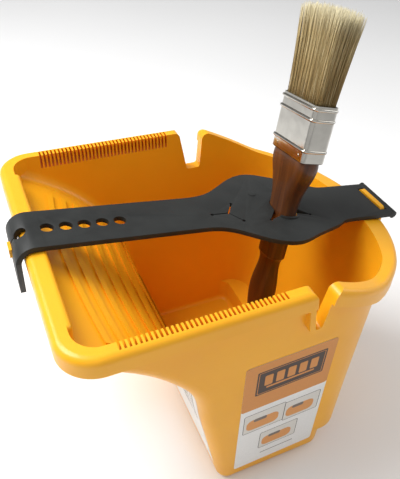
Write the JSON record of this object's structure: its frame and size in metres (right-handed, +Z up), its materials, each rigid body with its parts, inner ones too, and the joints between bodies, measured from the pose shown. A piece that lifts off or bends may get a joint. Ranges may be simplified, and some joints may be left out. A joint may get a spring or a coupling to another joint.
{
  "type": "paint kettle",
  "caption": "Hand-held moulded paint kettle with a ridged ramp, wiping combs, rim notches and a rubber strap that holds a flat brush upright.",
  "frame": {"origin": "on the flat underside of the base, on the plane of symmetry of the tub, 44.5 mm behind the front edge of the base", "axes": "+Z up, +X towards the deep rear end, -X towards the ramp and the front rim, +Y towards the far side, right-handed"},
  "size_m": [0.2568, 0.187, 0.2873],
  "materials": {
    "tub_plastic": "satin orange-yellow polypropylene",
    "strap_rubber": "matt dark grey rubber",
    "label_paper": "coated paper label",
    "handle_wood": "varnished red-brown wood",
    "ferrule_metal": "bright tinned steel",
    "bristle_hair": "pale natural bristle"
  },
  "bodies": {
    "kettle": {"tub": "tub_plastic", "side_label": "label_paper", "back_label": "label_paper"},
    "strap": {"strap": "strap_rubber", "strap_tail": "strap_rubber"},
    "brush": {"brush_handle": "handle_wood", "brush_ferrule": "ferrule_metal", "ferrule_nails": "ferrule_metal", "bristles": "bristle_hair"}
  },
  "joints": [
    {"name": "strap_lift", "type": "hinge", "parent": "kettle", "child": "strap", "pos_m": [0.1089, 0, 0.14993], "axis": [0, 1, 0], "range_deg": [0, 100], "deforming": ["strap_tail"]},
    {"name": "brush_pull", "type": "slide", "parent": "strap", "child": "brush", "axis": [0.2114, 0.1611, 0.964], "range_m": [0, 0.12]}
  ]
}
